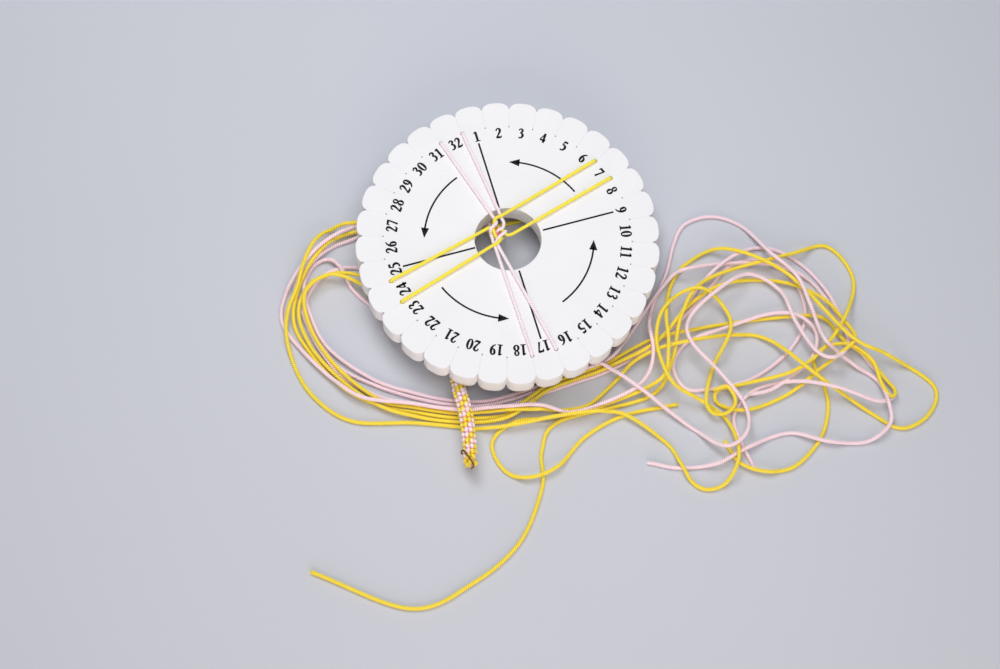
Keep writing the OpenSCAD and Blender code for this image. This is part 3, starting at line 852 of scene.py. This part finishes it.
class KUMIHIMO_OT_wire(bpy.types.Operator):
    """The bent wire that ties the end of the braid"""
    bl_idname = "kumihimo.wire"
    bl_label = "Wire tie"

    def execute(self, context):
        b = settings("braid")
        end = np.array(BRAID_ROUTE[-1], float)
        ring, drop = mm(b.braid_d / 2 + b.wire_d / 2) + WIRE_GAP, mm(b.wire_d / 2) + WIRE_PAST
        bent = []
        for a, v in WIRE_LAP:
            z, x = ring * ray(math.radians(a))
            bent.append(end + [x + END_LEAN[0] * v, v, z + END_LEAN[1] * v])
        bent += [end + [ring * x, -drop, ring * z] for x, z in WIRE_DROP]
        piece = tubes("wire_tie_end", [fine(bent, 6)], mm(b.wire_d), wire_material())
        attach(piece, "braid")
        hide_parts("wire_tie")
        return {"FINISHED"}


# How each span goes into the point of braiding: offsets from its middle and from the spans' height
SPAN_HEADS = {
    "yellow_1": [(1.3, 8.7, 0.5), (-1.2, 7.4, 0.7), (-2.3, 5.6, 0.4), (-2.5, 4.0, -0.9), (-2.2, 2.6, -2.6)],
    "yellow_2": [(7.5, -0.4, 0), (5.8, -1.2, -0.1), (4.3, -1.4, -0.3), (3.2, -0.8, -0.8), (2.2, 0.5, -0.3),
        (1.0, 1.6, -0.5), (0.2, 2.2, -2.4)],
    "yellow_3": [(-4.4, -8.3, 0.6), (-2.2, -7.1, 1.2), (-0.3, -5.8, 1.0), (0.7, -4.2, 0.3),
        (1.2, -2.8, -0.8), (1.2, -1.8, -2.5)],
    "yellow_4": [(-5.1, 2.2, -0.2), (-3.7, 2.4, -0.8), (-2.8, 1.2, -0.1), (-2.4, -0.5, 0.4),
        (-1.3, -2.7, -0.4), (-0.6, -3.2, -2.4)],
    "pink_1": [(-4.2, 10.1, 0), (-2.4, 7.4, -0.7), (-1.3, 5.1, -0.1), (-2.5, 3.2, 0.7), (-4.0, 1.4, 0.6),
        (-3.9, -0.2, -1.4), (-2.9, -1.0, -3.0)],
    "pink_2": [(0, 10.8, 0), (1.0, 8.2, -0.7), (2.2, 5.6, -0.3), (2.3, 3.5, 0), (1.5, 2.0, 0.1),
        (-0.2, 1.0, 0.1), (-1.2, 0.2, -1.8)],
    "pink_3": [(0, -8.1, 0), (-1.2, -5.4, 0), (-0.7, -3.9, 0.2), (1.0, -2.0, 0.7), (2.8, -0.4, 0.6),
        (3.3, 0.7, -0.9), (2.9, 1.4, -2.6)],
    "pink_4": [(-1.7, -8.6, 0), (-2.7, -6.0, -0.2), (-3.2, -3.9, -0.2), (-3.7, -1.8, -0.8),
        (-3.6, -0.6, -2.4)],
}


# Room between a span and the foam, and the share of its way after which it rises or sinks to the knot
SPAN_GAP, RISE_FROM = 0.05, 0.55
# Steps of a span's line between two points of its head, and those over which it comes to follow the braid
HEAD_STEPS, BLEND_STEPS = 8, 24
# Least tone of a taut cord: painted paler, with less painted shade between its ribs
TAUT_TONE = 0.4


def span_line(name):
    """Fine centreline of one span: up through its eye, over the disk and into the point of braiding."""
    d, c = settings("disk"), settings("cord")
    eye, bend = eye_at(USED_SLOTS[name]), mm(c.elbow_r)
    z = mm(d.lift + d.thickness + c.span_d / 2) + SPAN_GAP
    head = [np.array([*HEAD_AT, z]) + q for q in SPAN_HEADS[name]]
    u = unit(head[0][:2] - eye)
    line = [np.array([*eye, v]) for v in np.linspace(mm(d.lift), z - bend, 8)]
    line += elbow(eye, u, bend, z, -1, np.arange(15, 91, 15))
    reach = np.linalg.norm(head[0][:2] - eye) - bend
    for t in np.linspace(0.04, 0.9, 24):
        rise = SPAN_HEADS[name][0][2] * max(0.0, t - RISE_FROM) / (1 - RISE_FROM)
        line.append(np.array([*(eye + u * (bend + reach * t)), z + rise]))
    return line + fine([line[-1]] + head, HEAD_STEPS)[1:]


def lighten(piece):
    """Lifts the tone of a cord pulled taut towards its lit colour: painted light, and less painted shade
    between its flatter ribs.
    """
    tone, values = tones(piece)
    tone.foreach_set("value", TAUT_TONE + (1 - TAUT_TONE) * values)


class KUMIHIMO_OT_spans(bpy.types.Operator):
    """The taut cords from the point of braiding to their slots"""
    bl_idname = "kumihimo.spans"
    bl_label = "Cord spans"

    def execute(self, context):
        for name in USED_SLOTS:
            shade, number = name.split("_")
            line = span_line(name)
            piece = plait(f"cord_span_{name}", [line], cord_finish(name), settings("cord").span_d)
            lighten(piece)
            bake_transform(piece)
            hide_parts(f"{shade}_span_{number}")
        return {"FINISHED"}


# A petal's power and points; in millimetres, the rounding of slits and eyes, the room round a cord in its eye
# and the first step into a slot's mouth
PETAL_POWER, PETAL_POINTS = 3.3, 41
SLIT_ROUND, EYE_ROUND, EYE_FIT, MOUTH_STEP = 0.03, 0.08, 0.1, 0.5
# Points of the hole, and its rounding as a share of the rim's
HOLE_POINTS, HOLE_ROUND = 160, 0.8


def foam_loop():
    """The rim as one closed line round petals, slits and eyes: x, y and edge rounding of each point."""
    d = settings("disk")
    r, slit, mouth, depth = mm(d.disk_d) / 2, mm(d.slit_w) / 2, mm(d.mouth_w) / 2, mm(d.mouth_depth)
    notch, eye_r = mm(d.petal_notch), r - mm(d.slot_depth)
    foot = r - notch
    edge = math.asin(mouth / foot) / (STEP / 2)
    loop = []
    for k in range(1, SLOTS + 1):
        for s in np.linspace(edge - 1, 1 - edge, PETAL_POINTS):
            q = r - notch * abs(s) ** PETAL_POWER
            soft = mm(d.edge_round) * min(1.0, 0.1 + 6 * (1 - abs(s)))
            loop.append([*(q * ray(dial_angle(k) - s * STEP / 2)), soft])
        a = dial_angle(k + 0.5)
        u, v = ray(a), ray(a - math.pi / 2)
        held = k in USED_SLOTS.values()
        hole = mm(settings("cord").cord_d) / 2 + EYE_FIT if held else mm(d.eye_d) / 2
        inner = eye_r + math.sqrt(hole ** 2 - slit ** 2)
        sides = [(q, slit + (mouth - slit) * max(0.0, 1 - (foot - q) / depth))
                 for q in [foot - MOUTH_STEP, *np.linspace(foot - depth, inner, 6)]]
        loop += [[*(u * q - v * half), SLIT_ROUND] for q, half in sides]
        first = math.asin(slit / hole)
        for t in np.linspace(first, math.tau - first, 16)[1:-1]:
            loop.append([*(u * (eye_r + hole * math.cos(t)) - v * hole * math.sin(t)), EYE_ROUND])
        loop += [[*(u * q + v * half), SLIT_ROUND] for q, half in sides[::-1]]
    return np.array(loop)


class KUMIHIMO_OT_foam(bpy.types.Operator):
    """The die-cut foam disk with its petals, slits, eyes and hole"""
    bl_idname = "kumihimo.foam"
    bl_label = "Foam disk"

    def execute(self, context):
        d = settings("disk")
        turns = np.arange(HOLE_POINTS) * math.tau / HOLE_POINTS
        circle = np.array([ray(a) for a in turns]) * mm(d.hole_d) / 2
        hole = np.column_stack([circle, np.full(HOLE_POINTS, mm(d.edge_round) * HOLE_ROUND)])
        low, high = mm(d.lift), mm(d.lift + d.thickness)
        bends = np.radians(np.arange(0, 91, 18))
        rings = [(1 - math.sin(a), 1 - math.cos(a), "top") for a in bends]
        rings += [(pull, drop, "bottom") for pull, drop, _ in rings[::-1]]
        points, faces, caps = [], [], {"top": [], "bottom": []}
        for loop in (foam_loop(), hole):
            into = -across(loop[:, :2])
            n, first = len(loop), len(points)
            for pull, drop, end in rings:
                q = loop[:, :2] + into * (loop[:, 2] * pull)[:, None]
                z = high - loop[:, 2] * drop if end == "top" else low + loop[:, 2] * drop
                points += [(x, y, h) for (x, y), h in zip(q, z)]
            for i in range(len(rings) - 1):
                for j in range(n):
                    a, b = first + i * n + j, first + i * n + (j + 1) % n
                    faces.append((a, b, b + n, a + n))
            caps["top"].append(list(range(first, first + n)))
            caps["bottom"].append(list(range(first + (len(rings) - 1) * n, first + len(rings) * n)))
        walls = len(faces)
        for end, loops in caps.items():
            index = [i for loop in loops for i in loop]
            for tri in tessellate_polygon([[Vector((*points[i][:2], 0)) for i in loop] for loop in loops]):
                a, b, c = (index[t] for t in tri)
                left = side_of(points[a], points[b], points[c]) > 0
                faces.append((a, b, c) if left == (end == "top") else (a, c, b))
        piece = mesh_object("foam_disk_cut", points, faces, foam_material())
        piece.data.polygons.foreach_set("use_smooth", [i < walls for i in range(len(piece.data.polygons))])
        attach(piece, "disk")
        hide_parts("foam_disk")
        return {"FINISHED"}


# Digits in parts of their height: middle and pitch, how much bolder than its pen a stroke is printed, and the
# power by which a ring swells at its sides
DIGIT_MIDDLE, DIGIT_PITCH = 0.28, 0.6
BOLD_TIMES, BOLD_MORE, RING_SWELL = 1.12, 0.035, 1.5
# Pen strokes of the numbers: x, y and width in parts of the height; a "ring" has a middle, radii and widths
DIGITS = {
    "0": [("ring", 0.28, 0.5, 0.19, 0.46, 0.17, 0.055)],
    "1": [[(0.29, 0.97, 0.16), (0.29, 0.02, 0.16)],
          [(0.07, 0.84, 0.04), (0.19, 0.88, 0.07), (0.31, 0.98, 0.04)],
          [(0.06, 0.02, 0.05), (0.52, 0.02, 0.05)]],
    "2": [[(0.06, 0.7, 0.08), (0.11, 0.86, 0.08), (0.25, 0.94, 0.1), (0.39, 0.84, 0.16), (0.4, 0.68, 0.16),
           (0.3, 0.45, 0.12), (0.09, 0.08, 0.07)],
          [(0.03, 0.07, 0.14), (0.38, 0.07, 0.15), (0.49, 0.12, 0.06), (0.53, 0.25, 0.02)]],
    "3": [[(0.07, 0.78, 0.07), (0.14, 0.9, 0.08), (0.26, 0.945, 0.1), (0.38, 0.83, 0.15), (0.36, 0.69, 0.13),
           (0.19, 0.555, 0.05)],
          [(0.19, 0.555, 0.05), (0.38, 0.47, 0.13), (0.42, 0.29, 0.17), (0.34, 0.11, 0.13),
           (0.2, 0.045, 0.08), (0.08, 0.09, 0.14)]],
    "4": [[(0.37, 0.97, 0.15), (0.37, 0.02, 0.15)], [(0.38, 0.96, 0.06), (0.04, 0.31, 0.06)],
          [(0.02, 0.28, 0.12), (0.54, 0.28, 0.12)]],
    "5": [[(0.14, 0.91, 0.15), (0.48, 0.91, 0.15)], [(0.17, 0.94, 0.06), (0.1, 0.57, 0.06)],
          [(0.1, 0.57, 0.06), (0.27, 0.58, 0.13), (0.41, 0.43, 0.17), (0.4, 0.24, 0.16), (0.28, 0.08, 0.11),
           (0.17, 0.045, 0.08), (0.07, 0.1, 0.14)]],
    "6": [[(0.5, 0.96, 0.04), (0.32, 0.87, 0.09), (0.16, 0.64, 0.15), (0.12, 0.38, 0.17), (0.16, 0.15, 0.13),
           (0.28, 0.04, 0.07), (0.41, 0.15, 0.14), (0.43, 0.31, 0.16), (0.38, 0.49, 0.13),
           (0.28, 0.555, 0.07), (0.16, 0.49, 0.05)]],
    "7": [[(0.04, 0.9, 0.15), (0.52, 0.9, 0.15)], [(0.47, 0.88, 0.08), (0.22, 0.02, 0.13)],
          [(0.06, 0.92, 0.08), (0.03, 0.7, 0.03)]],
    "8": [("ring", 0.28, 0.75, 0.15, 0.2, 0.13, 0.06), ("ring", 0.28, 0.265, 0.175, 0.235, 0.16, 0.06)],
}
DIGITS["9"] = [[(2 * DIGIT_MIDDLE - x, 1 - y, w) for x, y, w in DIGITS["6"][0]]]


def ribbon(line, closed=False):
    """Points and faces of a flat stroke along x, y and width."""
    p = np.array(line, float)
    side = across(p[:, :2], closed) * p[:, 2:] / 2
    n = len(p)
    faces = [(i, (i + 1) % n, n + (i + 1) % n, n + i) for i in range(n if closed else n - 1)]
    return np.concatenate([p[:, :2] - side, p[:, :2] + side]), faces


def stroke_line(stroke):
    """A stroke as a fine line of x, y and width."""
    if stroke[0] == "ring":
        _, cx, cy, rx, ry, thick, thin = stroke
        return [(cx + rx * x, cy + ry * y, thin + (thick - thin) * abs(x) ** RING_SWELL)
                for x, y in (ray(t) for t in np.arange(36) * math.tau / 36)]
    if len(stroke) == 2:
        return stroke
    return fine([np.array(q) for q in stroke], 8)


# The print lies this far off the middle of the disk and above the foam, in millimetres
PRINT_SHIFT, PRINT_RISE = 0.5, 0.03
# Quarter lines: radii of their ends, and width
LINE_FROM, LINE_TO, LINE_W = 17.4, 54.1, 0.92
# Arrows: radius, width and half the head's width; angles of their start and sweep; how far before or past the
# end of the sweep the shaft ends, the tip lies and the head starts
ARROW_R, ARROW_W, HEAD_HALF = 41.8, 0.9, 2.05
ARROW_FROM, ARROW_SWEEP = math.radians(22), math.radians(51.5)
SHAFT_BEFORE, TIP_PAST, HEAD_BEFORE = 0.09, 0.005, 0.125


def printed(name, marks, material):
    """One flat print of many marks, each some points in millimetres with faces."""
    d = settings("disk")
    z = mm(d.lift + d.thickness) + PRINT_RISE
    points, faces = [], []
    for spots, patches in marks:
        first = len(points)
        points += [(x + PRINT_SHIFT, y, z) for x, y in spots]
        for f in patches:
            left = side_of(*(spots[i] for i in f[:3])) > 0
            faces.append([first + i for i in (f if left else f[::-1])])
    piece = mesh_object(name, points, faces, material)
    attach(piece, "disk")


class KUMIHIMO_OT_dial(bpy.types.Operator):
    """The printed dial: numbers, quarter lines and turning arrows"""
    bl_idname = "kumihimo.dial"
    bl_label = "Printed dial"

    def execute(self, context):
        d = settings("disk")
        ink = ink_material()
        high, ring = mm(d.digit_h), mm(d.number_r)
        marks = []
        for number in range(1, SLOTS + 1):
            a, text = dial_angle(number), str(number)
            out, over = ray(a), ray(a - math.pi / 2)
            for i, digit in enumerate(text):
                shift = (i - (len(text) - 1) / 2) * DIGIT_PITCH - DIGIT_MIDDLE
                for stroke in DIGITS[digit]:
                    bold = [(x, y, w * BOLD_TIMES + BOLD_MORE) for x, y, w in stroke_line(stroke)]
                    spots, patches = ribbon(bold, stroke[0] == "ring")
                    spots = [out * (ring + (y - 0.5) * high) + over * (x + shift) * high for x, y in spots]
                    marks.append((spots, patches))
        printed("dial_numbers", marks, ink)
        marks = []
        for quarter in range(4):
            out = ray(dial_angle(1 + quarter * SLOTS / 4))
            marks.append(ribbon([(*(out * q), LINE_W) for q in np.linspace(LINE_FROM, LINE_TO, 12)]))
        printed("dial_quarter_lines", marks, ink)
        marks = []
        for quarter in range(4):
            first = ARROW_FROM + d.dial_turn + quarter * math.pi / 2
            last = first + ARROW_SWEEP
            shaft = [ARROW_R * ray(t) for t in np.linspace(first, last - SHAFT_BEFORE, 40)]
            marks.append(ribbon([(*p, ARROW_W) for p in shaft]))
            back = [(ARROW_R + side) * ray(last - HEAD_BEFORE) for side in (-HEAD_HALF, HEAD_HALF)]
            marks.append(([ARROW_R * ray(last + TIP_PAST), *back], [(0, 1, 2)]))
        printed("dial_arrows", marks, ink)
        return {"FINISHED"}


def register():
    for made in CLASSES:
        bpy.utils.register_class(made)
    for name, kind in SETTINGS.items():
        setattr(bpy.types.Scene, name, bpy.props.PointerProperty(type=kind))


def unregister():
    for name in SETTINGS:
        delattr(bpy.types.Scene, name)
    for made in reversed(CLASSES):
        bpy.utils.unregister_class(made)


class KUMIHIMO_PT_panel(bpy.types.Panel):
    """The steps that dress the disk"""
    bl_label = "Kumihimo disk"
    bl_idname = "KUMIHIMO_PT_panel"
    bl_space_type = "VIEW_3D"
    bl_region_type = "UI"
    bl_category = "Kumihimo"

    def draw(self, context):
        for step in STEPS:
            self.layout.operator("kumihimo." + step)
        for name, kind in SETTINGS.items():
            box = self.layout.box()
            for prop in kind.__annotations__:
                box.prop(getattr(context.scene, name), prop)


STEPS = ["stage", "tails", "spans", "wire", "braid", "foam", "dial"]
CLASSES = [*SETTINGS.values(), KUMIHIMO_OT_stage, KUMIHIMO_OT_tails, KUMIHIMO_OT_spans, KUMIHIMO_OT_wire,
           KUMIHIMO_OT_braid, KUMIHIMO_OT_foam, KUMIHIMO_OT_dial, KUMIHIMO_PT_panel]


def main():
    register()
    for step in STEPS:
        getattr(bpy.ops.kumihimo, step)()


if __name__ == "__main__":
    main()
